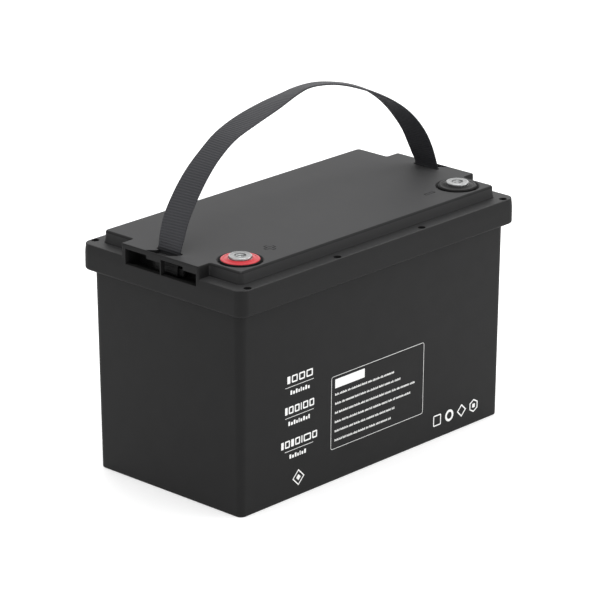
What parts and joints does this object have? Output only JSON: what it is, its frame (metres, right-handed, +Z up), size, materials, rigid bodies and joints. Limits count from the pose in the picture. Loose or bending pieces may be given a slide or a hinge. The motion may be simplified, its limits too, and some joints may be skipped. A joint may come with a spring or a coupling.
{
  "type": "rechargeable battery pack",
  "caption": "Rechargeable lithium battery pack: drafted moulded case, banded lid with raised deck, sunk metal terminals with coloured collars, and a webbing carrying strap.",
  "frame": {"origin": "centre of the case's underside", "axes": "+X along the length towards the negative terminal, -Y is the printed long side, +Z up"},
  "size_m": [0.33, 0.18, 0.307],
  "materials": {
    "shell": "fine-textured moulded ABS",
    "lid": "fine-textured moulded ABS",
    "seal": "soft",
    "screw": "black oxide",
    "terminal": "tin-plated, turned",
    "red_collar": "satin",
    "black_collar": "satin",
    "fastener": "zinc plated",
    "bar": "moulded",
    "webbing": "ribbed woven",
    "foam": "closed-cell foam",
    "cell_wrap": "blue shrink film over an aluminium can",
    "post": "machined",
    "epoxy": "glass-epoxy sheet",
    "band": "bright",
    "copper": "bare copper",
    "tray": "vacuum-formed",
    "board": "solder-masked",
    "heatsink": "extruded",
    "chip": "moulded epoxy",
    "cable": "silicone",
    "lug": "tinned copper",
    "plug": "nylon",
    "sense_wire": "PVC",
    "print": "screen-printed ink"
  },
  "bodies": {
    "pack": {"case_shell": "shell", "lid": "lid", "lid_gasket": "seal", "lid_screws": "screw", "positive_insert": "terminal", "negative_insert": "terminal", "positive_collar": "red_collar", "negative_collar": "black_collar", "terminal_nuts": "fastener", "strap_bars": "bar", "strap_loops": "webbing", "strap_flex": "webbing", "base_pad": "foam", "side_pads": "foam", "end_pad": "foam", "filler_block": "foam", "hold_down_pads": "foam", "cell_1": "cell_wrap", "cell_2": "cell_wrap", "cell_3": "cell_wrap", "cell_4": "cell_wrap", "cell_posts": "post", "cell_spacers": "epoxy", "end_plates": "epoxy", "pack_bands": "band", "busbars": "copper", "positive_link": "copper", "busbar_nuts": "fastener", "cover_tray": "tray", "bms_board": "board", "bms_heatsink": "heatsink", "bms_components": "chip", "bms_standoffs": "fastener", "bms_posts": "post", "bms_nuts": "fastener", "bms_lead": "cable", "negative_lead": "cable", "lead_lugs": "lug", "balance_plug": "plug", "balance_harness": "sense_wire", "thermistor": "chip", "side_print": "print"},
    "strap": {"strap_arch": "webbing"}
  },
  "joints": [
    {"name": "strap_swing", "type": "hinge", "parent": "pack", "child": "strap", "pos_m": [0, 0, 0.219], "axis": [1, 0, 0], "range_deg": [-70, 70], "deforming": ["strap_flex"]}
  ]
}
